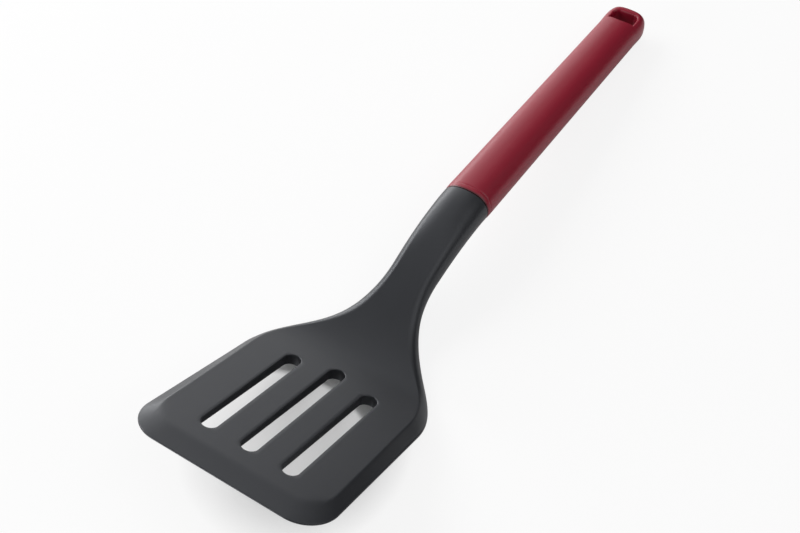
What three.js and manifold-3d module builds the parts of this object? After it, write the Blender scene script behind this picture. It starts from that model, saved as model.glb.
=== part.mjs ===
// Slotted spatula: a nylon head with three slots, snapped into a red moulded handle with a hang hole.
// It lies as it is put down on a table, on the blade's heel and the end of the handle.
import * as THREE from "three";
import { mergeVertices } from "three/addons/utils/BufferGeometryUtils.js";
import Module from "manifold-3d";

const wasm = await Module();
wasm.setup();

// Blade, in millimetres; lengths run back from the front edge, and the top face is at height 0
const BLADE_WIDTH = 84.7;
const HEEL_WIDTH = 83;
const FRONT_CORNER_RADIUS = 14;
const SIDE_LENGTH = 70.9;
const BLADE_LENGTH = 88.4;
const FRONT_THICKNESS = 2.5;
const HEEL_THICKNESS = 5.3;
const RIM_THICKNESS = 0.9;
const FRONT_BEVEL = 8.3;
const SIDE_BEVEL = 4.6;
const HEEL_BEVEL = 3;

// Slots through the blade
const SLOT_WIDTH = 6.9;
const SLOT_PITCH = 18;
const SLOT_FRONT_MARGIN = 16.3;
const SIDE_SLOT_LENGTH = 58.7;
const MIDDLE_SLOT_LENGTH = 63.6;
const SLOT_CUT_REACH = 30;

// Neck: a swept curve from the heel to the joint, with the distance its ends run straight
const NECK_RUN = 76.5;
const NECK_RISE = 44.65;
const HEEL_EASE = 19.2;
const JOINT_EASE = 36.7;
const FLAT_HEEL_LENGTH = 16;
const WAIST_DISTANCE = 49.8;
const WAIST_WIDTH = 20.2;
const SWEEP_HEEL_EASE = 27.9;
const SWEEP_WAIST_EASE = 37.9;
const NECK_END_WIDTH = 22;
const NECK_END_THICKNESS = 16.2;

// Tang: the hidden bar on the neck that snaps into the handle
const TANG_WIDTH = 12;
const TANG_THICKNESS = 7;
const TANG_LENGTH = 70;
const TANG_TIP_LENGTH = 5;
const TANG_TIP_INSET = 1.2;
const BARB_DISTANCE = 46;
const BARB_LENGTH = 8;
const BARB_HEIGHT = 0.8;

// Handle, measured along its own axis from the joint
const HANDLE_ANGLE = THREE.MathUtils.degToRad(17.3);
const HANDLE_LENGTH = 176.4;
const HANDLE_WIDTH = 22.4;
const HANDLE_FRONT_THICKNESS = 16.6;
const HANDLE_END_THICKNESS = 13.4;
const END_ROUNDING = 11.5;
const LIP_LENGTH = 2.8;
const LIP_INSET = 0.5;
const SHELL_WALL = 2.4;
const CAVITY_END_WALL = 11.7;

// Hang hole: a D with its straight side towards the blade
const HOLE_END_WALL = 6.2;
const HOLE_LENGTH = 9.8;
const HOLE_WIDTH = 14;
const HOLE_FAR_RADIUS = 5;
const HOLE_NEAR_RADIUS = 1;
const HOLE_CUT_REACH = 20;

// Clearances between pieces
const JOINT_GAP = 0.4;
const FIT_GAP = 0.3;

// Shape of the oval sections and fineness of the facets
const OVAL_POWER = 2.3;
const NECK_POWER = 4.5;
const END_POWER = 3.1;
const TANG_POWER = 6;
const TOP_STEPS = 5;
const BEVEL_STEPS = 3;
const BOTTOM_STEPS = 6;
const OVAL_STEPS = TOP_STEPS + BEVEL_STEPS + BOTTOM_STEPS + 1;
const CORNER_STEPS = 8;
const SWEEP_STEPS = 26;
const WAIST_STEPS = 9;
const LIP_STEPS = 3;
const END_STEPS = 8;
const SLOT_SEGMENTS = 12;

const UPRIGHT = new THREE.Vector2(0, 1);

function smoothStep(from, to, value) {
  return THREE.MathUtils.smoothstep(value, from, to);
}

function lerp(from, to, share) {
  return THREE.MathUtils.lerp(from, to, share);
}

// Half of an oval section, from the middle of its top round one side to the middle of its underside
function ovalHalf(halfWidth, halfHeight, power) {
  const points = [];
  for (let step = 0; step <= OVAL_STEPS; step += 1) {
    const angle = Math.PI / 2 - (Math.PI * step) / OVAL_STEPS;
    const across = step % OVAL_STEPS === 0 ? 0 : Math.abs(Math.cos(angle)) ** (2 / power);
    const along = Math.sign(Math.sin(angle)) * Math.abs(Math.sin(angle)) ** (2 / power);
    points.push([halfWidth * across, halfHeight * along]);
  }
  return points;
}

// A closed section in space: its centre and up direction lie in the tool's middle plane (x, z)
function ring(centre, up, half) {
  const mirrored = half.slice(1, -1).reverse().map(([across, height]) => [-across, height]);
  return [...half, ...mirrored].map(([across, height]) =>
    new THREE.Vector3(centre.x + up.x * height, across, centre.y + up.y * height));
}

// A closed solid through a row of rings, with a flat cap on the first and the last
function loft(rings) {
  const count = rings[0].length;
  const corners = rings.flat();
  const index = [];
  for (let row = 0; row + 1 < rings.length; row += 1) {
    for (let spot = 0; spot < count; spot += 1) {
      const next = (spot + 1) % count;
      const here = row * count;
      const ahead = here + count;
      index.push(here + spot, ahead + spot, ahead + next);
      index.push(here + spot, ahead + next, here + next);
    }
  }
  const middleOf = (points) => points.reduce((sum, point) => sum.add(point), new THREE.Vector3())
    .divideScalar(points.length);
  const firstMiddle = corners.push(middleOf(rings[0])) - 1;
  const lastMiddle = corners.push(middleOf(rings[rings.length - 1])) - 1;
  const last = (rings.length - 1) * count;
  for (let spot = 0; spot < count; spot += 1) {
    const next = (spot + 1) % count;
    index.push(firstMiddle, spot, next);
    index.push(lastMiddle, last + next, last + spot);
  }
  const geometry = new THREE.BufferGeometry().setFromPoints(corners);
  geometry.setIndex(index);
  return geometry;
}

function toSolid(geometry) {
  const bare = geometry.clone();
  bare.deleteAttribute("normal");
  bare.deleteAttribute("uv");
  const merged = mergeVertices(bare);
  const vertProperties = new Float32Array(merged.attributes.position.array);
  const triVerts = new Uint32Array(merged.index.array);
  return new wasm.Manifold(new wasm.Mesh({ numProp: 3, vertProperties, triVerts }));
}

function toGeometry(solid) {
  const mesh = solid.getMesh();
  const geometry = new THREE.BufferGeometry();
  geometry.setAttribute("position", new THREE.BufferAttribute(mesh.vertProperties, 3));
  geometry.setIndex(new THREE.BufferAttribute(mesh.triVerts, 1));
  return geometry;
}

function cut(geometry, cutters) {
  const solid = cutters.reduce((body, cutter) => body.subtract(toSolid(cutter)), toSolid(geometry));
  return toGeometry(solid);
}

// An upright prism through a flat outline, reaching the same distance above and below height 0
function prism(outline, reach) {
  const geometry = new THREE.ExtrudeGeometry(outline, {
    depth: 2 * reach,
    bevelEnabled: false,
    curveSegments: SLOT_SEGMENTS,
  });
  return geometry.translate(0, 0, -reach);
}

// Blade and neck

const heel = new THREE.Vector2(BLADE_LENGTH, -HEEL_THICKNESS / 2);
const joint = new THREE.Vector2(BLADE_LENGTH + NECK_RUN, NECK_RISE);
const handleAxis = new THREE.Vector2(Math.cos(HANDLE_ANGLE), Math.sin(HANDLE_ANGLE));
const handleUp = new THREE.Vector2(-handleAxis.y, handleAxis.x);

const neckCurve = new THREE.CubicBezierCurve(
  heel,
  new THREE.Vector2(heel.x + HEEL_EASE, heel.y),
  joint.clone().addScaledVector(handleAxis, -JOINT_EASE),
  joint,
);
const neckLength = neckCurve.getLength();
const headLength = BLADE_LENGTH + neckLength;
const waistDistance = BLADE_LENGTH + WAIST_DISTANCE;

// Edge of the heel, drawn flat: distance along the middle line against half width
const heelSweep = new THREE.CubicBezierCurve(
  new THREE.Vector2(SIDE_LENGTH, HEEL_WIDTH / 2),
  new THREE.Vector2(SIDE_LENGTH + SWEEP_HEEL_EASE, HEEL_WIDTH / 2),
  new THREE.Vector2(waistDistance - SWEEP_WAIST_EASE, WAIST_WIDTH / 2),
  new THREE.Vector2(waistDistance, WAIST_WIDTH / 2),
);

// Where the middle of the head lies at a distance along it, and half its thickness there
function middleLine(distance) {
  if (distance <= BLADE_LENGTH) {
    const halfHeight = lerp(FRONT_THICKNESS, HEEL_THICKNESS, distance / BLADE_LENGTH) / 2;
    return { centre: new THREE.Vector2(distance, -halfHeight), up: UPRIGHT, halfHeight };
  }
  const share = Math.min(1, (distance - BLADE_LENGTH) / neckLength);
  const centre = neckCurve.getPointAt(share);
  const tangent = neckCurve.getTangentAt(share);
  const up = new THREE.Vector2(-tangent.y, tangent.x);
  const halfHeight = lerp(HEEL_THICKNESS, NECK_END_THICKNESS, smoothStep(0, 1, share)) / 2;
  return { centre, up, halfHeight };
}

// Half section of the blade: flat top, bevel down to the rim, flat underside
function bladeHalf(distance, halfWidth, halfHeight) {
  const heelShare = Math.min(1, distance / BLADE_LENGTH);
  const frontShare = Math.max(0, 1 - distance / FRONT_BEVEL);
  const inset = lerp(lerp(SIDE_BEVEL, HEEL_BEVEL, heelShare), RIM_THICKNESS, frontShare);
  const flat = halfWidth - inset;
  const rim = RIM_THICKNESS - halfHeight;
  const top = lerp(halfHeight, rim, frontShare);
  const points = [];
  for (let step = 0; step <= TOP_STEPS; step += 1) {
    points.push([(flat * step) / TOP_STEPS, top]);
  }
  for (let step = 1; step <= BEVEL_STEPS; step += 1) {
    points.push([flat + (inset * step) / BEVEL_STEPS, lerp(top, rim, step / BEVEL_STEPS)]);
  }
  for (let step = 0; step <= BOTTOM_STEPS; step += 1) {
    points.push([halfWidth * (1 - step / BOTTOM_STEPS), -halfHeight]);
  }
  return points;
}

function blendHalf(first, second, share) {
  return first.map(([across, height], spot) => [
    lerp(across, second[spot][0], share),
    lerp(height, second[spot][1], share),
  ]);
}

// The heel stays flat across where it meets the table; behind it the bevelled section turns into
// a rounded bar at the waist, and that into an oval at the joint
function headRing(distance, halfWidth) {
  const { centre, up, halfHeight } = middleLine(distance);
  const power = lerp(NECK_POWER, OVAL_POWER, smoothStep(BLADE_LENGTH, headLength, distance));
  const rounding = smoothStep(BLADE_LENGTH + FLAT_HEEL_LENGTH, waistDistance, distance);
  const flat = bladeHalf(distance, halfWidth, halfHeight);
  const half = blendHalf(flat, ovalHalf(halfWidth, halfHeight, power), rounding);
  return ring(centre, up, half);
}

// Half width between the front corners and the heel
function sideHalfWidth(distance) {
  return lerp(BLADE_WIDTH, HEEL_WIDTH, distance / SIDE_LENGTH) / 2;
}

function frontRings() {
  const rings = [];
  for (let step = 0; step < CORNER_STEPS; step += 1) {
    const angle = ((Math.PI / 2) * step) / CORNER_STEPS;
    const distance = FRONT_CORNER_RADIUS * (1 - Math.cos(angle));
    rings.push([distance, sideHalfWidth(distance) - FRONT_CORNER_RADIUS * (1 - Math.sin(angle))]);
  }
  const behind = Math.max(0, FRONT_CORNER_RADIUS - FRONT_BEVEL);
  const cornerDrop = FRONT_CORNER_RADIUS - Math.sqrt(FRONT_CORNER_RADIUS ** 2 - behind ** 2);
  rings.push([FRONT_BEVEL, sideHalfWidth(FRONT_BEVEL) - cornerDrop]);
  rings.push([FRONT_CORNER_RADIUS, sideHalfWidth(FRONT_CORNER_RADIUS)]);
  rings.sort((first, second) => first[0] - second[0]);
  return rings.map(([distance, halfWidth]) => headRing(distance, halfWidth));
}

function sweepRings() {
  const rings = [];
  for (let step = 0; step <= SWEEP_STEPS; step += 1) {
    const spot = heelSweep.getPoint(step / SWEEP_STEPS);
    rings.push(headRing(spot.x, spot.y));
  }
  for (let step = 1; step <= WAIST_STEPS; step += 1) {
    const share = step / WAIST_STEPS;
    const distance = lerp(waistDistance, headLength, share);
    rings.push(headRing(distance, lerp(WAIST_WIDTH, NECK_END_WIDTH, share) / 2));
  }
  return rings;
}

// Sizes of the tang along the handle's axis: distance from the joint and growth on every side
function tangProfile() {
  return [
    [0, 0],
    [BARB_DISTANCE, 0],
    [BARB_DISTANCE, BARB_HEIGHT],
    [BARB_DISTANCE + BARB_LENGTH, 0],
    [TANG_LENGTH - TANG_TIP_LENGTH, 0],
    [TANG_LENGTH, -TANG_TIP_INSET],
  ];
}

function tangHalf(growth) {
  return ovalHalf(TANG_WIDTH / 2 + growth, TANG_THICKNESS / 2 + growth, TANG_POWER);
}

function tangRings() {
  return tangProfile().map(([distance, growth]) => {
    const centre = joint.clone().addScaledVector(handleAxis, distance);
    return ring(centre, handleUp, tangHalf(growth));
  });
}

function slotOutline(offset, length) {
  const radius = SLOT_WIDTH / 2;
  const near = SLOT_FRONT_MARGIN + radius;
  const far = SLOT_FRONT_MARGIN + length - radius;
  const outline = new THREE.Shape();
  outline.absarc(far, offset, radius, -Math.PI / 2, Math.PI / 2, false);
  outline.absarc(near, offset, radius, Math.PI / 2, (3 * Math.PI) / 2, false);
  outline.closePath();
  return outline;
}

function nylonHead() {
  const body = loft([...frontRings(), ...sweepRings(), ...tangRings()]);
  const slots = [
    slotOutline(-SLOT_PITCH, SIDE_SLOT_LENGTH),
    slotOutline(0, MIDDLE_SLOT_LENGTH),
    slotOutline(SLOT_PITCH, SIDE_SLOT_LENGTH),
  ];
  return cut(body, slots.map((outline) => prism(outline, SLOT_CUT_REACH)));
}

// Handle, built along its own axis from the joint

const holeFar = HANDLE_LENGTH - HOLE_END_WALL;
const holeNear = holeFar - HOLE_LENGTH;
const cavityEnd = holeNear - CAVITY_END_WALL;

function handleHalf(distance, inset) {
  const share = distance / HANDLE_LENGTH;
  const halfHeight = lerp(HANDLE_FRONT_THICKNESS, HANDLE_END_THICKNESS, share) / 2;
  return [HANDLE_WIDTH / 2 - inset, halfHeight - inset];
}

function handleRing(distance, inset) {
  const [halfWidth, halfHeight] = handleHalf(distance, inset);
  return ring(new THREE.Vector2(distance, 0), UPRIGHT, ovalHalf(halfWidth, halfHeight, OVAL_POWER));
}

function lipRings() {
  const rings = [];
  for (let step = 0; step <= LIP_STEPS; step += 1) {
    const angle = ((Math.PI / 2) * step) / LIP_STEPS;
    const distance = JOINT_GAP + LIP_LENGTH * (1 - Math.cos(angle));
    rings.push(handleRing(distance, LIP_INSET * (1 - Math.sin(angle))));
  }
  return rings;
}

function endRings() {
  const rings = [];
  const start = HANDLE_LENGTH - END_ROUNDING;
  for (let step = 0; step < END_STEPS; step += 1) {
    const angle = ((Math.PI / 2) * step) / END_STEPS;
    const distance = start + END_ROUNDING * Math.sin(angle) ** (2 / END_POWER);
    const shrink = Math.cos(angle) ** (2 / END_POWER);
    const [halfWidth, halfHeight] = handleHalf(distance, 0);
    const half = ovalHalf(halfWidth * shrink, halfHeight * shrink, OVAL_POWER);
    rings.push(ring(new THREE.Vector2(distance, 0), UPRIGHT, half));
  }
  return rings;
}

function holeOutline() {
  const side = HOLE_WIDTH / 2;
  const outline = new THREE.Shape();
  const quarter = Math.PI / 2;
  const nearRound = holeNear + HOLE_NEAR_RADIUS;
  const farRound = holeFar - HOLE_FAR_RADIUS;
  const nearSide = side - HOLE_NEAR_RADIUS;
  const farSide = side - HOLE_FAR_RADIUS;
  outline.absarc(nearRound, -nearSide, HOLE_NEAR_RADIUS, 2 * quarter, 3 * quarter, false);
  outline.absarc(farRound, -farSide, HOLE_FAR_RADIUS, -quarter, 0, false);
  outline.absarc(farRound, farSide, HOLE_FAR_RADIUS, 0, quarter, false);
  outline.absarc(nearRound, nearSide, HOLE_NEAR_RADIUS, quarter, 2 * quarter, false);
  outline.closePath();
  return outline;
}

function handleShell() {
  const cavity = [handleRing(cavityEnd, SHELL_WALL), handleRing(JOINT_GAP, SHELL_WALL)];
  const body = loft([...cavity, ...lipRings(), ...endRings()]);
  return cut(body, [prism(holeOutline(), HOLE_CUT_REACH)]);
}

// The socket follows the tang with the fit clearance all round and past its tip
function socketRings() {
  const widened = tangProfile().map(([distance, growth]) => [distance, growth + FIT_GAP]);
  const [, , barb, barbEnd, tip] = widened;
  const profile = [
    [TANG_LENGTH + FIT_GAP, FIT_GAP],
    [tip[0], FIT_GAP],
    [barbEnd[0] + FIT_GAP, FIT_GAP],
    [barb[0] + FIT_GAP, barb[1]],
    [barb[0] - FIT_GAP, barb[1]],
    [barb[0] - FIT_GAP, FIT_GAP],
    [JOINT_GAP, FIT_GAP],
  ];
  return profile.map(([distance, growth]) =>
    ring(new THREE.Vector2(distance, 0), UPRIGHT, tangHalf(growth)));
}

function handleCore() {
  const inset = SHELL_WALL + FIT_GAP;
  const outside = [handleRing(JOINT_GAP, inset), handleRing(cavityEnd - FIT_GAP, inset)];
  return loft([...socketRings(), ...outside]);
}

// Assembly

function piece(name, geometry, material) {
  const mesh = new THREE.Mesh(geometry, new THREE.MeshStandardMaterial(material));
  mesh.name = name;
  return mesh;
}

function lowerHull(points) {
  const hull = [];
  const sorted = [...points].sort((first, second) => first.x - second.x || first.y - second.y);
  for (const point of sorted) {
    while (hull.length > 1) {
      const [before, after] = hull.slice(-2);
      const turn = after.clone().sub(before).cross(point.clone().sub(before));
      if (turn > 0) break;
      hull.pop();
    }
    hull.push(point);
  }
  return hull;
}

// Side view of every corner of the tool, in its own middle plane
function sideView(tool) {
  tool.updateMatrixWorld(true);
  const points = [];
  const corner = new THREE.Vector3();
  tool.traverse((mesh) => {
    if (!mesh.isMesh) return;
    const corners = mesh.geometry.attributes.position;
    for (let spot = 0; spot < corners.count; spot += 1) {
      corner.fromBufferAttribute(corners, spot).applyMatrix4(mesh.matrixWorld);
      points.push(new THREE.Vector2(corner.x, corner.z));
    }
  });
  return points;
}

// Tilts the tool onto the two spots it rests on, the longest edge of its underside's outline,
// and centres its length
function layDown(tool) {
  const hull = lowerHull(sideView(tool));
  let longest = new THREE.Vector2();
  for (let spot = 0; spot + 1 < hull.length; spot += 1) {
    const edge = hull[spot + 1].clone().sub(hull[spot]);
    if (edge.length() > longest.length()) longest = edge;
  }
  tool.rotation.y = Math.atan2(longest.y, longest.x);
  const box = new THREE.Box3().setFromPoints(
    sideView(tool).map((point) => new THREE.Vector3(point.x, 0, point.y)));
  tool.position.set(-(box.min.x + box.max.x) / 2, 0, -box.min.z);
}

const handle = new THREE.Group();
handle.position.set(joint.x, 0, joint.y);
handle.rotation.y = -HANDLE_ANGLE;
handle.add(piece("handle_shell", handleShell(), { color: 0x7a1b2a, roughness: 0.28, metalness: 0 }));
handle.add(piece("handle_core", handleCore(), { color: 0x3a3b3d, roughness: 0.6, metalness: 0 }));

const tool = new THREE.Group();
tool.add(piece("nylon_head", nylonHead(), { color: 0x48494d, roughness: 0.5, metalness: 0 }));
tool.add(handle);
layDown(tool);

const spatula = new THREE.Group();
spatula.add(tool);

export default spatula;
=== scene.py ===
from math import cos, hypot, pi, radians, sin, sqrt

import bmesh
import bpy
from mathutils import Euler, Matrix, Vector


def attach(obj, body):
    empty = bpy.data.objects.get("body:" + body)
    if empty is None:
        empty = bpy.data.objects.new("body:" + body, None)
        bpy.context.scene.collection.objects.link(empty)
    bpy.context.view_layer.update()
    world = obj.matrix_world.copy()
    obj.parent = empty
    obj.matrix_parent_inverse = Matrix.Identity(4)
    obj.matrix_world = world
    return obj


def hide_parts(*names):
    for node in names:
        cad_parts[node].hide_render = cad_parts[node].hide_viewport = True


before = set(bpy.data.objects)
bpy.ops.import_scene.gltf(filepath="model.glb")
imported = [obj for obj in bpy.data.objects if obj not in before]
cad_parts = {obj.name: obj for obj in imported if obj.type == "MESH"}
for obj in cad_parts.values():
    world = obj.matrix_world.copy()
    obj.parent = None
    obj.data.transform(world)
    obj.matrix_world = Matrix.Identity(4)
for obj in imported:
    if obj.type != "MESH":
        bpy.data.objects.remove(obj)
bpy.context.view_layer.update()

# All sizes of the spatula are in millimetres
# Blade: lengths run back from the front edge, and the top face is at height 0
BLADE_WIDTH = 84.7
HEEL_WIDTH = 83.0
CORNER_RADIUS = 14.0
SIDE_LENGTH = 70.9
BLADE_LENGTH = 88.4
FRONT_THICKNESS = 2.5
HEEL_THICKNESS = 5.3
RIM = 0.9
FRONT_BEVEL = 8.7
SIDE_BEVEL = 4.6
CREASE_CORNER = 10.5
CREASE_SOFTNESS = 0.3

# Slots: all start at one margin, and the middle one is longer
SLOT_COUNT = 3
SLOT_WIDTH = 6.9
SLOT_PITCH = 18.0
SLOT_MARGIN = 16.3
SIDE_SLOT = 58.7
MIDDLE_SLOT = 63.6
SLOT_EDGE = 0.4
SLOT_CORNERS = 96
SLOT_ARC_LAYERS = 8
SLOT_WALL_LAYERS = 6
SLOT_ARC_OVERLAP = 1.02
SLOT_PLUG_PAST = 2.0

# Neck: its middle line ends at the joint, and pairs of distances are where a change starts and ends
JOINT = (164.9, 44.65)
HEEL_EASE = 19.2
HEEL_SOFTNESS = 11.0
JOINT_EASE = 36.7
NECK_BEVEL = 3.3
BEVEL_NARROWS = (106.0, 130.0)
SHOULDER_SPREAD = 0.6
SHOULDER_FADES = 132.0
BEVEL_ROUNDS = (62.0, 104.0)
SIDES_RISE = (100.0, 124.0)
WAIST_DISTANCE = 49.8
WAIST_WIDTH = 20.8
SWEEP_HEEL_EASE = 27.9
SWEEP_WAIST_EASE = 37.9
NECK_WIDTH = 22.0
NECK_THICKNESS = 16.2

# Powers of the ovals, where 2 is an ellipse and more is boxier: for the handle and under the heel
OVAL = 2.3
BAR = 2.4

# Tang inside the handle, in steps of distance past the joint and growth all round
TANG_WIDTH = 12.0
TANG_THICKNESS = 7.0
TANG_OVAL = 6.0
TANG_STEPS = ((0.7, 0.0), (46.0, 0.0), (46.0, 0.8), (54.0, 0.0), (65.0, 0.0), (70.0, -1.2))

# Handle, along its own axis from the joint; its end closes in plan and in height, as ovals do
HANDLE_ANGLE = radians(17.3)
HANDLE_LENGTH = 173.1
HANDLE_WIDTH = 22.4
END_WIDTH = 21.8
HANDLE_TOP = 8.3
HANDLE_UNDER = 8.3
END_UNDER = 6.5
END_ROUNDING = 13.6
END_POWER = 3.9
END_EDGE = 3.6
END_EDGE_POWER = 2.0
END_OVAL = 3.1
END_FLATTENS = 157.0
LEAST_HALF_WIDTH = 1e-6
LIP_LENGTH = 2.6
LIP_INSET = 0.5
LIP_SEAM = 0.2
LIP_SEAM_WIDTH = 0.7
HANDLE_CORNERS = 144
HANDLE_RINGS = 240

# Seam: the neck runs on past the joint, and the handle starts behind a gap
NECK_OVERRUN = 0.7
JOINT_GAP = 1.3
SEAM_DEPTH = 0.6
SEAM_CLEARANCE = 0.05

# Cavity of the handle
SHELL_WALL = 2.4
CAVITY_END = 148.7
CAVITY_OVERRUN = 1.0
CAVITY_CORNERS = 72
CAVITY_RINGS = 2

# Hang hole
HOLE_NEAR = 158.8
HOLE_FAR = 168.0
HOLE_SIDE = 6.4
HOLE_FAR_RADIUS = 3.0
HOLE_NEAR_RADIUS = 1.0
HOLE_EDGE = 2.0
HOLE_EDGE_STARTS = (-1.0, -0.1)
HOLE_LEAST_EDGE = 0.02
HOLE_BOW = 1.0
HOLE_NEAR_STEPS = 8
HOLE_FAR_STEPS = 16
HOLE_BOW_STEPS = 16
HOLE_ARC_STEPS = 8
HOLE_PLUG_PAST = 0.03
HOLE_PLUG_HALF = 12.0

# Edges that turn by more than this are shaded sharp
HEAD_SHARP = radians(35)
HANDLE_SHARP = radians(30)

# Colours
NYLON_DARK = (0.0165, 0.0174, 0.0202, 1.0)
NYLON_LIGHT = (0.0212, 0.0223, 0.0255, 1.0)
NYLON_WORN = (0.065, 0.067, 0.071, 1.0)
NYLON_SHEEN = (0.91, 0.94, 1.0, 1.0)
RED_DARK = (0.252, 0.0046, 0.0215, 1.0)
RED_LIGHT = (0.274, 0.0054, 0.0235, 1.0)
RED_WORN = (0.26, 0.03, 0.05, 1.0)
# Dark of the painted shade in the gap between the neck and the handle
SEAM_SHADE_COLOUR = (0.012, 0.004, 0.005, 1.0)
CORE_DARK = (0.040, 0.040, 0.042, 1.0)
CORE_LIGHT = (0.058, 0.058, 0.060, 1.0)
TABLE_DARK = (0.91, 0.91, 0.91, 1.0)
TABLE_LIGHT = (0.93, 0.93, 0.93, 1.0)
BLACK = (0.0, 0.0, 0.0, 1.0)
WHITE = (1.0, 1.0, 1.0, 1.0)

# Roughness, before the noise of each finish is added, and how much of an edge is worn
NYLON_ROUGHNESS = 0.33
NYLON_WEAR = 0.25
RED_ROUGHNESS = 0.36
RED_WEAR = 0.2
CORE_ROUGHNESS = 0.55

# Painted shade at the front of the handle, where the gap to the neck falls dark: how far it reaches
# in metres, and its share of the colour
SEAM_SHADE_REACH = 0.0010
SEAM_SHADE_SHARE = 0.9

# Table, in metres like all of the studio, and how much of its white is a glow
TABLE = 12.0
TABLE_GLOW = 0.84
MIRRORED_GLOW = 0.12

# Shade under the blade: an oval's middle, half length and half width, with a soft edge
BLADE_SHADE = (-0.130, 0.038, 0.037)
BLADE_SHADE_EDGE = 1.5
UNDER_BLADE = 0.46
MIRRORED_SHADE = 0.85

# Shade under the heel: a band with a front and a back, whose front bows forward at its sides
HEEL_SHADE = (-0.1037, -0.080)
HEEL_SHADE_SIDE = 0.005
HEEL_SHADE_REACH = 0.028
HEEL_SHADE_BOW = 11.0
HEEL_SHADE_FADE = 0.005
UNDER_HEEL = 0.86

# Lamps, all at one distance: name, compass turn, height angle, width and height, brightness
LAMP_DISTANCE = 1.6
LAMPS = (
    ("low_back", 30.0, 10.0, (0.84, 0.56), 1.4),
    ("low_back_left", 60.0, 10.0, (0.84, 0.56), 5.1),
    ("low_front_left", 150.0, 10.0, (0.84, 0.56), 8.4),
    ("back_left_panel", 45.0, 32.5, (1.12, 0.71), 1.2),
    ("left_panel", 90.0, 32.5, (1.12, 0.71), 6.4),
    ("right_panel", 275.0, 32.5, (1.3, 0.71), 0.9),
    ("right_fill", 252.0, 55.0, (1.2, 1.0), 0.9),
    ("upper_back", 35.0, 57.0, (1.4, 0.71), 0.5),
    ("upper_right", 305.0, 54.0, (1.1, 0.8), 0.9),
    ("overhead", 0.0, 89.9, (1.1, 1.1), 0.7),
)
ROOM_LIGHT = 0.04

# Camera
CAMERA_SENSOR = 36.0
CAMERA_LENS = 51.767
CAMERA_NEAR = 0.01
CAMERA_PLACE = (-0.30704, -0.15780, 0.38598)
CAMERA_TURN = (radians(39.9303), radians(-0.2966), radians(-57.5991))

# How the spatula lies on the table
REST_TILT = radians(21.7261)
REST_PLACE = Vector((-172.350, 0.0, 39.201))
MILLIMETRE = 0.001

to_rest = (
    Matrix.Scale(MILLIMETRE, 4)
    @ Matrix.Translation(REST_PLACE)
    @ Matrix.Rotation(REST_TILT, 4, "Y")
)
handle_to_rest = (
    to_rest
    @ Matrix.Translation((JOINT[0], 0.0, JOINT[1]))
    @ Matrix.Rotation(-HANDLE_ANGLE, 4, "Y")
)


def mix(first, second, share):
    """A value between two others; numbers and node sockets both work."""
    return first + (second - first) * share


def clamp(value):
    return min(1.0, max(0.0, value))


def ease(low, high, value):
    share = clamp((value - low) / (high - low))
    return share * share * (3.0 - 2.0 * share)


# Node trees: sums on sockets are written as plain expressions


class Wire:
    """One socket's value; each operator adds a Math node."""

    def __init__(self, bench, socket):
        self.bench = bench
        self.socket = socket

    def _sum(self, operation, *values):
        sockets = dict(enumerate(values))
        return self.bench.add("ShaderNodeMath", {"operation": operation}, sockets)

    def __add__(self, other):
        return self._sum("ADD", self, other)

    def __radd__(self, other):
        return self._sum("ADD", other, self)

    def __sub__(self, other):
        return self._sum("SUBTRACT", self, other)

    def __rsub__(self, other):
        return self._sum("SUBTRACT", other, self)

    def __mul__(self, other):
        return self._sum("MULTIPLY", self, other)

    def __rmul__(self, other):
        return self._sum("MULTIPLY", other, self)

    def __truediv__(self, other):
        return self._sum("DIVIDE", self, other)

    def __rtruediv__(self, other):
        return self._sum("DIVIDE", other, self)

    def __pow__(self, other):
        return self._sum("POWER", self, other)

    def __gt__(self, other):
        return self._sum("GREATER_THAN", self, other)

    def __abs__(self):
        return self._sum("ABSOLUTE", self)

    def sign(self):
        return self._sum("SIGN", self)

    def sine(self):
        return self._sum("SINE", self)

    def cosine(self):
        return self._sum("COSINE", self)

    def between(self, low, high):
        return self._sum("MINIMUM", self._sum("MAXIMUM", self, low), high)


class Bench:
    """Adds nodes to one tree."""

    def __init__(self, tree):
        self.tree = tree

    def add(self, kind, settings=None, sockets=None, out=0):
        node = self.tree.nodes.new(kind)
        for name, value in (settings or {}).items():
            setattr(node, name, value)
        for name, value in (sockets or {}).items():
            if isinstance(value, Wire):
                self.tree.links.new(value.socket, node.inputs[name])
            else:
                node.inputs[name].default_value = value
        return Wire(self, node.outputs[out]) if node.outputs else None

    def also(self, wire, out):
        return Wire(self, wire.socket.node.outputs[out])


# Nylon head: sections across the blade, the neck and the tang, joined into one closed mesh


def bezier(points, share):
    rest = 1.0 - share
    weights = (rest**3, 3 * rest**2 * share, 3 * rest * share**2, share**3)
    return tuple(sum(w * p[index] for w, p in zip(weights, points)) for index in (0, 1))


def bezier_slope(points, share):
    rest = 1.0 - share
    steps = [(b[0] - a[0], b[1] - a[1]) for a, b in zip(points, points[1:])]
    weights = (3 * rest**2, 6 * rest * share, 3 * share**2)
    return tuple(sum(w * s[index] for w, s in zip(weights, steps)) for index in (0, 1))


CURVE_STEPS = 600


def running_lengths(points):
    """Lengths along a curve from its start to each of its steps."""
    lengths = [0.0]
    for step in range(CURVE_STEPS):
        a = bezier(points, step / CURVE_STEPS)
        b = bezier(points, (step + 1) / CURVE_STEPS)
        lengths.append(lengths[-1] + hypot(b[0] - a[0], b[1] - a[1]))
    return lengths


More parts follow.
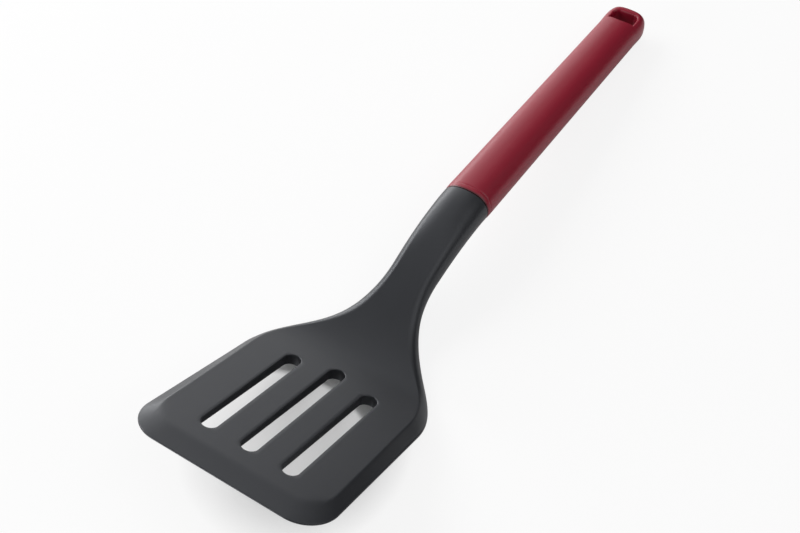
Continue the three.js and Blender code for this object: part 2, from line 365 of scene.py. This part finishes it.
axis = (cos(HANDLE_ANGLE), sin(HANDLE_ANGLE))
heel = (BLADE_LENGTH, -HEEL_THICKNESS / 2)
neck_curve = (
    heel,
    (heel[0] + HEEL_EASE, heel[1]),
    (JOINT[0] - axis[0] * JOINT_EASE, JOINT[1] - axis[1] * JOINT_EASE),
    JOINT,
)
neck_lengths = running_lengths(neck_curve)
neck_length = neck_lengths[-1]
head_length = BLADE_LENGTH + neck_length
waist = BLADE_LENGTH + WAIST_DISTANCE
heel_sweep = (
    (SIDE_LENGTH, HEEL_WIDTH / 2),
    (SIDE_LENGTH + SWEEP_HEEL_EASE, HEEL_WIDTH / 2),
    (waist - SWEEP_WAIST_EASE, WAIST_WIDTH / 2),
    (waist, WAIST_WIDTH / 2),
)


HALVINGS = 50


def find(value, low, high, measure):
    """Where a rising measure reaches a value."""
    for _ in range(HALVINGS):
        middle = (low + high) / 2
        if measure(middle) < value:
            low = middle
        else:
            high = middle
    return (low + high) / 2


def neck_share(length):
    """The neck curve's share at a length along it."""
    step = min(range(len(neck_lengths)), key=lambda spot: abs(neck_lengths[spot] - length))
    low = max(0, step - 1)
    high = min(CURVE_STEPS, step + 1)
    span = neck_lengths[high] - neck_lengths[low]
    return mix(low, high, (length - neck_lengths[low]) / span) / CURVE_STEPS


def thickness(distance):
    return mix(FRONT_THICKNESS, HEEL_THICKNESS, distance / BLADE_LENGTH)


def middle_line(distance):
    """Centre (x, z), up direction and half thickness of the head at a distance along it."""
    if distance <= BLADE_LENGTH:
        half = thickness(distance) / 2
        return (distance, -half), (0.0, 1.0), half
    length = min(neck_length, distance - BLADE_LENGTH)
    share = neck_share(length)
    slope = bezier_slope(neck_curve, share)
    size = hypot(*slope)
    half = mix(HEEL_THICKNESS, NECK_THICKNESS, ease(0.0, neck_length, length)) / 2
    return bezier(neck_curve, share), (-slope[1] / size, slope[0] / size), half


def side_half(distance):
    return mix(BLADE_WIDTH, HEEL_WIDTH, distance / SIDE_LENGTH) / 2


def half_width(distance):
    if distance < CORNER_RADIUS:
        inward = 1.0 - distance / CORNER_RADIUS
        return side_half(distance) - CORNER_RADIUS * (1.0 - sqrt(1.0 - inward**2))
    if distance < SIDE_LENGTH:
        return side_half(distance)
    if distance < waist:
        share = find(distance, 0.0, 1.0, lambda t: bezier(heel_sweep, t)[0])
        return bezier(heel_sweep, share)[1]
    return mix(WAIST_WIDTH, NECK_WIDTH, (distance - waist) / (head_length - waist)) / 2


def bevel_width(distance):
    """How far in from the side the top face ends."""
    return mix(SIDE_BEVEL, NECK_BEVEL, ease(*BEVEL_NARROWS, distance))


def edge_distance(distance, across, half):
    """How far a spot on the blade is from its edge, and how wide the bevel is there."""
    front_reach = FRONT_BEVEL + CREASE_CORNER
    side_reach = SIDE_BEVEL + CREASE_CORNER
    ahead = front_reach - distance
    if ahead <= 0.0:
        return half - across, bevel_width(distance)
    beside = across - (side_half(distance) - side_reach)
    if beside <= 0.0:
        return distance, FRONT_BEVEL
    size = hypot(ahead, beside)
    turn = (ahead / size, beside / size)
    centre = (front_reach - CORNER_RADIUS, side_reach - CORNER_RADIUS)
    towards = centre[0] * turn[0] + centre[1] * turn[1]
    outer = towards + sqrt(towards**2 - hypot(*centre) ** 2 + CORNER_RADIUS**2)
    if outer * turn[1] < centre[1]:
        outer = front_reach / turn[0]
    elif outer * turn[0] < centre[0]:
        outer = side_reach / turn[1]
    return max(0.0, outer - size), outer - CREASE_CORNER


def soft_lower(first, second, softness):
    """The lower of two heights, rounded off where they meet."""
    share = clamp(0.5 + 0.5 * (second - first) / softness)
    return mix(second, first, share) - softness * share * (1.0 - share)


def blade_heights(distance, across, half, half_thick):
    """Upper and lower height of the bevelled section, from the middle line."""
    edge, bevel = edge_distance(distance, across, half)
    round_rim = RIM / 2
    lower = -half_thick
    if edge < round_rim:
        reach = sqrt(max(0.0, round_rim**2 - (round_rim - edge) ** 2))
        return lower + round_rim + reach, lower + round_rim - reach
    slope = (2 * half_thick - RIM) / (bevel - round_rim)
    rise = lower + RIM + (edge - round_rim) * slope
    return soft_lower(half_thick, rise, CREASE_SOFTNESS), lower


def oval_height(across, half, half_thick, power):
    share = min(1.0, across / half)
    return half_thick * (1.0 - share**power) ** (1.0 / power)


# Mesh lines across a section: millimetres in from its edge, closer in a narrow one, then even steps
EDGE_STEPS = [0.0, 0.006, 0.025, 0.06, 0.11, 0.18, 0.27, 0.36, 0.45, 0.6, 0.8, 1.0]
EDGE_STEPS += [1.0 + 0.25 * step for step in range(1, 21)]
INNER_STEPS = 14
NARROW_HALF = 9.0


def lateral_spots(half):
    shrink = min(1.0, half / NARROW_HALF)
    spots = [half - edge * shrink for edge in EDGE_STEPS]
    inner = spots[-1]
    return spots + [inner * (1.0 - step / INNER_STEPS) for step in range(1, INNER_STEPS + 1)]


def shoulder(across, half, reach):
    """The share of its full height that a rounded side still has at a spot."""
    past = max(0.0, across - half + reach) / reach
    return sqrt(max(0.0, 1.0 - past**2))


SOFT_WEIGHTS = ((-1.0, 0.1), (-0.5, 0.25), (0.0, 0.3), (0.5, 0.25), (1.0, 0.1))


def soft_line(distance):
    """The middle line with its bend at the heel eased over a short length."""
    reach = max(0.0, min(HEEL_SOFTNESS, distance, head_length - distance))
    centre, up, half_thick = Vector((0.0, 0.0)), Vector((0.0, 0.0)), 0.0
    for shift, weight in SOFT_WEIGHTS:
        spot, direction, half = middle_line(distance + reach * shift)
        centre += Vector(spot) * weight
        up += Vector(direction) * weight
        half_thick += half * weight
    return centre, up.normalized(), half_thick


def section(distance, half):
    """The head's section: the bevelled blade, which passes into the rounded neck."""
    centre, up, half_thick = soft_line(distance)
    rounding = ease(*BEVEL_ROUNDS, distance)
    fade = ease(SHOULDER_FADES, head_length, distance)
    widest = mix(RIM / 2 - half_thick, 0.0, ease(*SIDES_RISE, distance))
    reach = bevel_width(distance) + SHOULDER_SPREAD
    power = mix(BAR, OVAL, ease(BLADE_LENGTH, head_length, distance))
    heights = []
    for across in lateral_spots(half):
        upper, lower = blade_heights(distance, across, half, half_thick)
        share = mix(shoulder(across, half, reach), oval_height(across, half, 1.0, OVAL), fade)
        over = mix(widest, half_thick, share)
        under = mix(widest, -half_thick, oval_height(across, half, 1.0, power))
        heights.append((across, mix(upper, over, rounding), mix(lower, under, rounding)))
    return ring(centre, up, heights)


def ring(centre, up, heights):
    """A closed section: over the top from one side to the other, and back underneath."""
    top = [(across, upper) for across, upper, _ in heights]
    top += [(-across, upper) for across, upper, _ in heights[-2::-1]]
    under = [(-across, lower) for across, _, lower in heights[1:]]
    under += [(across, lower) for across, _, lower in heights[-2:0:-1]]
    return [
        Vector((centre[0] + up[0] * height, across, centre[1] + up[1] * height))
        for across, height in top + under
    ]


def spread(low, high, count):
    """Even steps from low up to high, without high itself."""
    return [mix(low, high, step / count) for step in range(count)]


def drawn_in(row, depth):
    """The same section, smaller by a depth all round."""
    middle = sum(row, Vector()) / len(row)
    return [spot + (middle - spot).normalized() * depth for spot in row]


CORNER_RINGS = 40
SIDE_RINGS = 36
SWEEP_RINGS = 80
NECK_RINGS = 36


def head_rings():
    turns = [pi / 2 * step / CORNER_RINGS for step in range(CORNER_RINGS)]
    along = [CORNER_RADIUS * (1.0 - cos(turn)) for turn in turns]
    along += spread(CORNER_RADIUS, SIDE_LENGTH, SIDE_RINGS)
    along += spread(SIDE_LENGTH, waist, SWEEP_RINGS)
    along += spread(waist, head_length, NECK_RINGS)
    along.append(head_length)
    rings = [section(distance, half_width(distance)) for distance in along]
    onward = Vector((axis[0], 0.0, axis[1]))
    rings.append([spot + onward * NECK_OVERRUN for spot in rings[-1]])
    seam_width = JOINT_GAP - NECK_OVERRUN - SEAM_CLEARANCE
    rings.append(drawn_in(rings[-1], SEAM_DEPTH))
    rings.append([spot + onward * seam_width for spot in rings[-1]])
    for distance, growth in TANG_STEPS:
        half = TANG_WIDTH / 2 + growth
        centre = (JOINT[0] + axis[0] * distance, JOINT[1] + axis[1] * distance)
        heights = []
        for across in lateral_spots(half):
            oval = oval_height(across, half, TANG_THICKNESS / 2 + growth, TANG_OVAL)
            heights.append((across, oval, -oval))
        rings.append(ring(centre, (-axis[1], axis[0]), heights))
    return rings


def loft(name, rings):
    """A closed mesh through a row of rings."""
    count = len(rings[0])
    faces = []
    for row in range(len(rings) - 1):
        for spot in range(count):
            ahead = (spot + 1) % count
            near = row * count
            far = near + count
            faces.append((near + spot, near + ahead, far + ahead, far + spot))
    faces.append(tuple(range(count - 1, -1, -1)))
    last = (len(rings) - 1) * count
    faces.append(tuple(range(last, last + count)))
    mesh = bpy.data.meshes.new(name)
    mesh.from_pydata([spot for row in rings for spot in row], [], faces)
    clean(mesh)
    return mesh


MERGE_DISTANCE = 1e-4
EMPTY_DISTANCE = 1e-5


def clean(mesh):
    """Merges doubled corners, removes faces without an area and turns the rest outwards."""
    work = bmesh.new()
    work.from_mesh(mesh)
    bmesh.ops.remove_doubles(work, verts=work.verts, dist=MERGE_DISTANCE)
    bmesh.ops.dissolve_degenerate(work, edges=work.edges, dist=EMPTY_DISTANCE)
    bmesh.ops.recalc_face_normals(work, faces=work.faces)
    work.to_mesh(mesh)
    work.free()


def put(name, mesh):
    thing = bpy.data.objects.new(name, mesh)
    bpy.context.scene.collection.objects.link(thing)
    return thing


def new_geometry_tree(name, sizes):
    """A tree with a named input for each size."""
    tree = bpy.data.node_groups.new(name, "GeometryNodeTree")
    tree.interface.new_socket("Geometry", in_out="INPUT", socket_type="NodeSocketGeometry")
    tree.interface.new_socket("Geometry", in_out="OUTPUT", socket_type="NodeSocketGeometry")
    for size in sizes:
        tree.interface.new_socket(size, in_out="INPUT", socket_type="NodeSocketFloat")
    bench = Bench(tree)
    start = bench.add("NodeGroupInput")
    inputs = {size: bench.also(start, size) for size in sizes}
    inputs["Geometry"] = start
    return bench, inputs


def set_inputs(modifier, sizes):
    for item in modifier.node_group.interface.items_tree:
        if item.in_out == "INPUT" and item.name in sizes:
            modifier[item.identifier] = sizes[item.name]


def finish_tree(bench, geometry, material):
    whole = bench.add("GeometryNodeRealizeInstances", {}, {"Geometry": geometry})
    painted = bench.add("GeometryNodeSetMaterial", {}, {"Geometry": whole, "Material": material})
    bench.add("NodeGroupOutput", {}, {"Geometry": painted})


def made_plain(thing, name, matrix, sharp, material):
    """The finished mesh of a piece, moved to where it lies and smooth but for its sharp edges."""
    graph = bpy.context.evaluated_depsgraph_get()
    mesh = bpy.data.meshes.new_from_object(thing.evaluated_get(graph))
    bpy.data.objects.remove(thing)
    mesh.name = name
    clean(mesh)
    mesh.transform(matrix)
    mesh.polygons.foreach_set("use_smooth", [True] * len(mesh.polygons))
    mesh.set_sharp_from_angle(angle=sharp)
    mesh.materials.clear()
    mesh.materials.append(material)
    mesh.polygons.foreach_set("material_index", [0] * len(mesh.polygons))
    return put(name, mesh)


def slot_tree(material):
    """Cuts a row of slots with rounded edges through the blade."""
    sizes = ("Width", "Pitch", "Margin", "Side length", "Middle length", "Edge", "Front", "Growth")
    bench, size = new_geometry_tree("slots through the blade", sizes)
    plug_end = 1
    wall_start = plug_end + SLOT_ARC_LAYERS
    wall_end = wall_start + SLOT_WALL_LAYERS
    arc_end = wall_end + SLOT_ARC_LAYERS
    layers = arc_end + plug_end
    arc = SLOT_ARC_LAYERS / layers
    offset = bench.add("ShaderNodeCombineXYZ", {}, {"Y": size["Pitch"]})
    middle_number = (SLOT_COUNT - 1) / 2
    first = bench.add("ShaderNodeCombineXYZ", {}, {"Y": size["Pitch"] * -middle_number})
    line = bench.add(
        "GeometryNodeMeshLine",
        {"mode": "OFFSET"},
        {"Count": SLOT_COUNT, "Start Location": first, "Offset": offset},
    )
    number = bench.add("GeometryNodeInputIndex")
    numbered = bench.add(
        "GeometryNodeStoreNamedAttribute",
        {"data_type": "FLOAT", "domain": "POINT"},
        {"Geometry": line, "Name": "slot_number", "Value": number},
    )
    plug = bench.add(
        "GeometryNodeMeshCylinder",
        {"fill_type": "NGON"},
        {"Vertices": SLOT_CORNERS, "Side Segments": layers, "Radius": 1.0, "Depth": 1.0},
    )
    plugs = bench.add("GeometryNodeInstanceOnPoints", {}, {"Points": numbered, "Instance": plug})
    plugs = bench.add("GeometryNodeRealizeInstances", {}, {"Geometry": plugs})
    which = bench.add(
        "GeometryNodeInputNamedAttribute", {"data_type": "FLOAT"}, {"Name": "slot_number"}
    )
    place = bench.add("ShaderNodeSeparateXYZ", {}, {0: bench.add("GeometryNodeInputPosition")})
    from_middle = which - middle_number
    across = from_middle * size["Pitch"]
    turn_x = place
    turn_y = bench.also(place, "Y") - across
    layer = bench.also(place, "Z") + 0.5
    top_arc = ((layer - wall_end / layers) / arc).between(0.0, 1.0) * (pi / 2)
    low_arc = ((wall_start / layers - layer) / arc).between(0.0, 1.0) * (pi / 2)
    wall = ((layer - wall_start / layers) * (layers / SLOT_WALL_LAYERS)).between(0.0, 1.0)
    past_top = ((layer - arc_end / layers) * layers).between(0.0, 1.0)
    past_low = ((plug_end / layers - layer) * layers).between(0.0, 1.0)
    edge = size["Edge"]
    growth = edge * (2.0 - top_arc.cosine() - low_arc.cosine())
    radius = size["Width"] * 0.5 + growth
    middle = 1.0 - abs(from_middle)
    length = mix(size["Side length"], size["Middle length"], middle)
    along = size["Margin"] + size["Width"] * 0.5 + turn_x * radius
    along = along + (turn_x > 0.0) * (length - size["Width"])
    underside = 0.0 - (size["Front"] + size["Growth"] * along)
    low_wall = underside + edge
    height = mix(low_wall, 0.0 - edge, wall)
    arcs = top_arc.sine() * SLOT_ARC_OVERLAP - low_arc.sine() * SLOT_ARC_OVERLAP
    height = height + edge * arcs + SLOT_PLUG_PAST * (past_top - past_low)
    across = across + turn_y * radius
    spot = bench.add("ShaderNodeCombineXYZ", {}, {"X": along, "Y": across, "Z": height})
    plugs = bench.add("GeometryNodeSetPosition", {}, {"Geometry": plugs, "Position": spot})
    cut = bench.add(
        "GeometryNodeMeshBoolean",
        {"operation": "DIFFERENCE", "solver": "EXACT"},
        {"Mesh 1": size["Geometry"], "Mesh 2": plugs},
    )
    finish_tree(bench, cut, material)
    return bench.tree


def make_nylon_head(material):
    thing = put("blade blank", loft("blade blank", head_rings()))
    modifier = thing.modifiers.new("slots", "NODES")
    modifier.node_group = slot_tree(material)
    set_inputs(
        modifier,
        {
            "Width": SLOT_WIDTH,
            "Pitch": SLOT_PITCH,
            "Margin": SLOT_MARGIN,
            "Side length": SIDE_SLOT,
            "Middle length": MIDDLE_SLOT,
            "Edge": SLOT_EDGE,
            "Front": FRONT_THICKNESS,
            "Growth": (HEEL_THICKNESS - FRONT_THICKNESS) / BLADE_LENGTH,
        },
    )
    return made_plain(thing, "slotted_nylon_head", to_rest, HEAD_SHARP, material)


# Red handle: an oval bar that follows one rule from lip to end


def end_shrink(distance, length, power):
    """The share of its size that the handle still has as its end closes."""
    past = clamp((distance - HANDLE_LENGTH + length) / length)
    return (1.0 - past**power) ** (1.0 / power)


def handle_surface(side, distance, across):
    """Height of the handle's upper or lower surface at a spot, from its axis."""
    run = distance / HANDLE_LENGTH
    half = HANDLE_TOP if side > 0.0 else mix(HANDLE_UNDER, END_UNDER, run)
    width = mix(HANDLE_WIDTH, END_WIDTH, run) / 2 * end_shrink(distance, END_ROUNDING, END_POWER)
    flatter = clamp((distance - END_FLATTENS) / (HANDLE_LENGTH - END_FLATTENS))
    height = half * end_shrink(distance, END_EDGE, END_EDGE_POWER)
    width = max(LEAST_HALF_WIDTH, width)
    return side * oval_height(across, width, height, mix(OVAL, END_OVAL, flatter))


def handle_tree(material):
    """A hollow oval bar with a lip in front and a rounded end."""
    sizes = ("Length", "Width", "End width", "Top", "Under", "End under")
    sizes += ("Lip length", "Lip inset", "Gap", "Wall", "Cavity end")
    bench, size = new_geometry_tree("oval handle", sizes)

    def closing(along, length, power):
        past = ((along - size["Length"] + length) / length).between(0.0, 1.0)
        return (1.0 - past**power).between(0.0, 1.0) ** (1.0 / power)

    def oval_bar(vertices, segments, start, end, inset, rounded):
        bar = bench.add(
            "GeometryNodeMeshCylinder",
            {"fill_type": "NGON"},
            {"Vertices": vertices, "Side Segments": segments, "Radius": 1.0, "Depth": 1.0},
        )
        place = bench.add("ShaderNodeSeparateXYZ", {}, {0: bench.add("GeometryNodeInputPosition")})
        side, up = place, bench.also(place, "Y")
        share = 0.5 - ((bench.also(place, "Z") + 0.5) * pi).cosine() * 0.5
        along = mix(start, end, share)
        run = along / size["Length"]
        under = mix(size["Under"], size["End under"], run)
        half_height = mix(under, size["Top"], up > 0.0) - inset
        half_across = mix(size["Width"], size["End width"], run) * 0.5 - inset
        if rounded:
            past = along - size["Gap"]
            lip = 1.0 - (past / size["Lip length"]).between(0.0, 1.0)
            seam = 1.0 - (abs(past - size["Lip length"]) / LIP_SEAM_WIDTH).between(0.0, 1.0)
            sunk = size["Lip inset"] * (1.0 - (1.0 - lip * lip) ** 0.5) + seam * seam * LIP_SEAM
            half_height = (half_height - sunk) * closing(along, END_EDGE, END_EDGE_POWER)
            half_across = (half_across - sunk) * closing(along, END_ROUNDING, END_POWER)
        flatter = ((along - END_FLATTENS) / (size["Length"] - END_FLATTENS)).between(0.0, 1.0)
        bend = 2.0 / mix(OVAL, END_OVAL, flatter)
        across = side.sign() * abs(side) ** bend * half_across
        height = up.sign() * abs(up) ** bend * half_height
        spot = bench.add("ShaderNodeCombineXYZ", {}, {"X": along, "Y": across, "Z": height})
        return bench.add("GeometryNodeSetPosition", {}, {"Geometry": bar, "Position": spot})

    outside = oval_bar(HANDLE_CORNERS, HANDLE_RINGS, size["Gap"], size["Length"], 0.0, True)
    opening = size["Gap"] - CAVITY_OVERRUN
    floor = size["Cavity end"]
    cavity = oval_bar(CAVITY_CORNERS, CAVITY_RINGS, opening, floor, size["Wall"], False)
    shell = bench.add(
        "GeometryNodeMeshBoolean",
        {"operation": "DIFFERENCE", "solver": "EXACT"},
        {"Mesh 1": outside, "Mesh 2": cavity},
    )
    finish_tree(bench, shell, material)
    return bench.tree


def hole_outline():
    """The hang hole's D outline: along, across, outward along and across, and edge rounding."""
    spots = []
    near_side = HOLE_SIDE - HOLE_NEAR_RADIUS
    far_side = HOLE_SIDE - HOLE_FAR_RADIUS
    near = HOLE_NEAR + HOLE_NEAR_RADIUS
    far = HOLE_FAR - HOLE_FAR_RADIUS
    corners = (
        (near, -near_side, HOLE_NEAR_RADIUS, pi, HOLE_NEAR_STEPS),
        (far, -far_side, HOLE_FAR_RADIUS, 1.5 * pi, HOLE_FAR_STEPS),
        (far, far_side, HOLE_FAR_RADIUS, 0.0, HOLE_FAR_STEPS),
        (near, near_side, HOLE_NEAR_RADIUS, 0.5 * pi, HOLE_NEAR_STEPS),
    )
    for along, across, radius, start, steps in corners:
        for step in range(steps + 1):
            angle = start + pi / 2 * step / steps
            out_x, out_y = cos(angle), sin(angle)
            rounding = HOLE_EDGE * ease(*HOLE_EDGE_STARTS, out_x)
            spots.append((along + out_x * radius, across + out_y * radius, out_x, out_y, rounding))
    for step in range(1, HOLE_BOW_STEPS):
        across = mix(near_side, -near_side, step / HOLE_BOW_STEPS)
        bow = HOLE_BOW * (1.0 - (across / near_side) ** 2)
        spots.append((HOLE_NEAR - bow, across, -1.0, 0.0, 0.0))
    return spots


def hole_plug():
    """A plug for the hang hole that flares where the hole's edge is rounded."""
    spots = hole_outline()
    shares = [step / HOLE_ARC_STEPS for step in range(HOLE_ARC_STEPS + 1)]

    def arc_ring(side, share):
        row = []
        for along, across, out_x, out_y, rounding in spots:
            rounding = max(HOLE_LEAST_EDGE, rounding)
            wall = abs(handle_surface(side, along, abs(across)))
            edge = (along + out_x * rounding, abs(across + out_y * rounding))
            far = abs(handle_surface(side, *edge)) + HOLE_PLUG_PAST
            grown = rounding * share * share
            rest = 1.0 - share
            height = rest**2 * (wall - rounding) + 2 * rest * share * wall + share**2 * far
            row.append(Vector((along + out_x * grown, across + out_y * grown, side * height)))
        return row

    top = [arc_ring(1.0, share) for share in shares]
    lid = [Vector((spot.x, spot.y, HOLE_PLUG_HALF)) for spot in top[-1]]
    under = [arc_ring(-1.0, share) for share in reversed(shares)]
    floor = [Vector((spot.x, spot.y, -HOLE_PLUG_HALF)) for spot in under[0]]
    return put("hole plug", loft("hole plug", [floor] + under + top + [lid]))


def make_handle(material):
    thing = put("handle blank", bpy.data.meshes.new("handle blank"))
    modifier = thing.modifiers.new("oval handle", "NODES")
    modifier.node_group = handle_tree(material)
    set_inputs(
        modifier,
        {
            "Length": HANDLE_LENGTH,
            "Width": HANDLE_WIDTH,
            "End width": END_WIDTH,
            "Top": HANDLE_TOP,
            "Under": HANDLE_UNDER,
            "End under": END_UNDER,
            "Lip length": LIP_LENGTH,
            "Lip inset": LIP_INSET,
            "Gap": JOINT_GAP,
            "Wall": SHELL_WALL,
            "Cavity end": CAVITY_END,
        },
    )
    plug = hole_plug()
    cut = thing.modifiers.new("hang hole", "BOOLEAN")
    cut.operation = "DIFFERENCE"
    cut.solver = "EXACT"
    cut.object = plug
    finished = made_plain(thing, "red_handle", handle_to_rest, HANDLE_SHARP, material)
    bpy.data.objects.remove(plug)
    return finished


# Finishes


def new_material(name):
    material = bpy.data.materials.new(name)
    material.use_nodes = True
    material.node_tree.nodes.clear()
    return material, Bench(material.node_tree)


def close_material(bench, shader):
    bench.add("ShaderNodeOutputMaterial", {}, {"Surface": shader})


def object_place(bench):
    return bench.also(bench.add("ShaderNodeTexCoord"), "Object")


def noise(bench, place, scale, detail=3.0, roughness=0.5):
    return bench.add(
        "ShaderNodeTexNoise",
        {},
        {"Vector": place, "Scale": scale, "Detail": detail, "Roughness": roughness},
    )


def tint(bench, share, dark, light):
    return bench.add("ShaderNodeMix", {"data_type": "RGBA"}, {0: share, 6: dark, 7: light}, out=2)


def worn_edges(bench, low, high):
    """0 on flat faces and 1 on outward edges."""
    sharpness = bench.also(bench.add("ShaderNodeNewGeometry"), "Pointiness")
    return ((sharpness - low) / (high - low)).between(0.0, 1.0)


def make_nylon():
    material, bench = new_material("dark grey nylon")
    place = object_place(bench)
    cloud = noise(bench, place, scale=35.0, detail=4.0, roughness=0.55)
    grain = noise(bench, place, scale=2600.0, detail=2.0, roughness=0.6)
    pits = noise(bench, place, scale=900.0, detail=2.0)
    wear = worn_edges(bench, low=0.52, high=0.62)
    colour = tint(bench, cloud, NYLON_DARK, NYLON_LIGHT)
    colour = tint(bench, wear * NYLON_WEAR, colour, NYLON_WORN)
    rough = NYLON_ROUGHNESS + cloud * 0.05 + grain * 0.06 - wear * 0.04
    relief = grain * 0.7 + pits * 0.3
    bump = bench.add(
        "ShaderNodeBump", {}, {"Strength": 0.12, "Distance": 0.00012, "Height": relief}
    )
    shader = bench.add(
        "ShaderNodeBsdfPrincipled",
        {},
        {
            "Base Color": colour,
            "Roughness": rough,
            "Normal": bump,
            "IOR": 1.52,
            "Specular Tint": NYLON_SHEEN,
        },
    )
    close_material(bench, shader)
    return material


def make_red_plastic():
    material, bench = new_material("deep red gloss plastic")
    place = object_place(bench)
    cloud = noise(bench, place, scale=28.0)
    ripple = noise(bench, place, scale=160.0, detail=1.0)
    haze = noise(bench, place, scale=1400.0, roughness=0.6)
    wear = worn_edges(bench, low=0.53, high=0.64)
    colour = tint(bench, cloud, RED_DARK, RED_LIGHT)
    colour = tint(bench, wear * RED_WEAR, colour, RED_WORN)
    # Painted shade in the seam: the colour darkens over the first millimetre of the handle behind
    # its gap to the neck
    onward = handle_to_rest.to_3x3() @ Vector((1.0, 0.0, 0.0)) / MILLIMETRE
    front = onward.dot(handle_to_rest @ Vector((JOINT_GAP, 0.0, 0.0)))
    along = bench.add(
        "ShaderNodeVectorMath", {"operation": "DOT_PRODUCT"}, {0: place, 1: onward}, out=1
    )
    seam_shade = 1.0 - ((along - front) / SEAM_SHADE_REACH).between(0.0, 1.0)
    colour = tint(bench, seam_shade * SEAM_SHADE_SHARE, colour, SEAM_SHADE_COLOUR)
    rough = RED_ROUGHNESS + cloud * 0.03 + haze * 0.02
    bump = bench.add("ShaderNodeBump", {}, {"Strength": 0.02, "Distance": 0.0001, "Height": ripple})
    shader = bench.add(
        "ShaderNodeBsdfPrincipled",
        {},
        {"Base Color": colour, "Roughness": rough, "Normal": bump, "IOR": 1.5},
    )
    close_material(bench, shader)
    return material


def make_core_plastic():
    material, bench = new_material("dark core plastic")
    place = object_place(bench)
    cloud = noise(bench, place, scale=60.0)
    grain = noise(bench, place, scale=1500.0, detail=2.0)
    colour = tint(bench, cloud, CORE_DARK, CORE_LIGHT)
    rough = CORE_ROUGHNESS + grain * 0.1
    bump = bench.add("ShaderNodeBump", {}, {"Strength": 0.1, "Distance": 0.0001, "Height": grain})
    shader = bench.add(
        "ShaderNodeBsdfPrincipled", {}, {"Base Color": colour, "Roughness": rough, "Normal": bump}
    )
    close_material(bench, shader)
    return material


# Studio


def make_table():
    """A white table that glows for the camera and less in mirrors, with its shades put back."""
    material, bench = new_material("white table")
    mottle = noise(bench, object_place(bench), scale=3.0)
    colour = tint(bench, mottle, TABLE_DARK, TABLE_LIGHT)
    paint = bench.add("ShaderNodeBsdfDiffuse", {}, {"Color": colour})
    white = bench.add("ShaderNodeEmission", {}, {"Strength": 1.0})
    path = bench.add("ShaderNodeLightPath")
    glossy = bench.also(path, "Is Glossy Ray")
    mirrored = (glossy + bench.also(path, "Is Transmission Ray")).between(0.0, 1.0)
    place = bench.add("ShaderNodeSeparateXYZ", {}, {0: object_place(bench)})
    side = bench.also(place, "Y")
    middle, half_length, half_width = BLADE_SHADE
    along = (place - middle) / half_length
    across = side / half_width
    blade_shade = (BLADE_SHADE_EDGE - (along * along + across * across)).between(0.0, 1.0)
    front, back = HEEL_SHADE
    aside = side - HEEL_SHADE_SIDE
    past_front = place + aside * aside * HEEL_SHADE_BOW - front
    heel_shade = 1.0
    for inside in (past_front, back - place, HEEL_SHADE_REACH - abs(aside)):
        heel_shade = (inside / HEEL_SHADE_FADE).between(0.0, 1.0) * heel_shade
    glow = TABLE_GLOW - blade_shade * UNDER_BLADE - heel_shade * UNDER_HEEL
    share = (path + mirrored * MIRRORED_GLOW) * glow.between(0.0, 1.0)
    lit = bench.add("ShaderNodeMixShader", {}, {0: share, 1: paint, 2: white})
    dark = bench.add("ShaderNodeBsdfDiffuse", {}, {"Color": BLACK})
    shade = mirrored * blade_shade * MIRRORED_SHADE
    shader = bench.add("ShaderNodeMixShader", {}, {0: shade, 1: lit, 2: dark})
    close_material(bench, shader)
    mesh = bpy.data.meshes.new("table")
    corners = [(x * TABLE, y * TABLE, 0.0) for x, y in ((-1, -1), (1, -1), (1, 1), (-1, 1))]
    mesh.from_pydata(corners, [], [(0, 1, 2, 3)])
    mesh.materials.append(material)
    put("table", mesh)


def make_world():
    world = bpy.data.worlds.new("studio")
    world.use_nodes = True
    world.node_tree.nodes.clear()
    bench = Bench(world.node_tree)
    glow = bench.add("ShaderNodeBackground", {}, {"Color": WHITE, "Strength": ROOM_LIGHT})
    bench.add("ShaderNodeOutputWorld", {}, {"Surface": glow})
    bpy.context.scene.world = world


def make_softbox(name, turn, lift, size, brightness):
    """A rectangular lamp that faces the spatula from a compass turn and a height angle."""
    light = bpy.data.lights.new(name, "AREA")
    light.shape = "RECTANGLE"
    light.size, light.size_y = size
    light.energy = brightness * pi * size[0] * size[1]
    lamp = bpy.data.objects.new(name, light)
    turn, lift = radians(turn), radians(lift)
    place = Vector((cos(lift) * cos(turn), cos(lift) * sin(turn), sin(lift))) * LAMP_DISTANCE
    lamp.location = place
    lamp.rotation_euler = (-place).to_track_quat("-Z", "Y").to_euler()
    bpy.context.scene.collection.objects.link(lamp)


def make_camera():
    data = bpy.data.cameras.new("camera")
    data.sensor_width = CAMERA_SENSOR
    data.lens = CAMERA_LENS
    data.clip_start = CAMERA_NEAR
    camera = bpy.data.objects.new("camera", data)
    camera.location = CAMERA_PLACE
    camera.rotation_euler = Euler(CAMERA_TURN, "XYZ")
    bpy.context.scene.collection.objects.link(camera)
    bpy.context.scene.camera = camera


head = make_nylon_head(make_nylon())
handle = make_handle(make_red_plastic())
for piece, node, slot in ((head, "nylon_head", "nylon"), (handle, "handle_shell", "red_plastic")):
    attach(piece, "root")
    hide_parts(node)
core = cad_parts["handle_core"]
core.data.materials.clear()
core.data.materials.append(make_core_plastic())

make_table()
make_world()
for softbox in LAMPS:
    make_softbox(*softbox)
make_camera()
bpy.context.scene.view_settings.view_transform = "Standard"
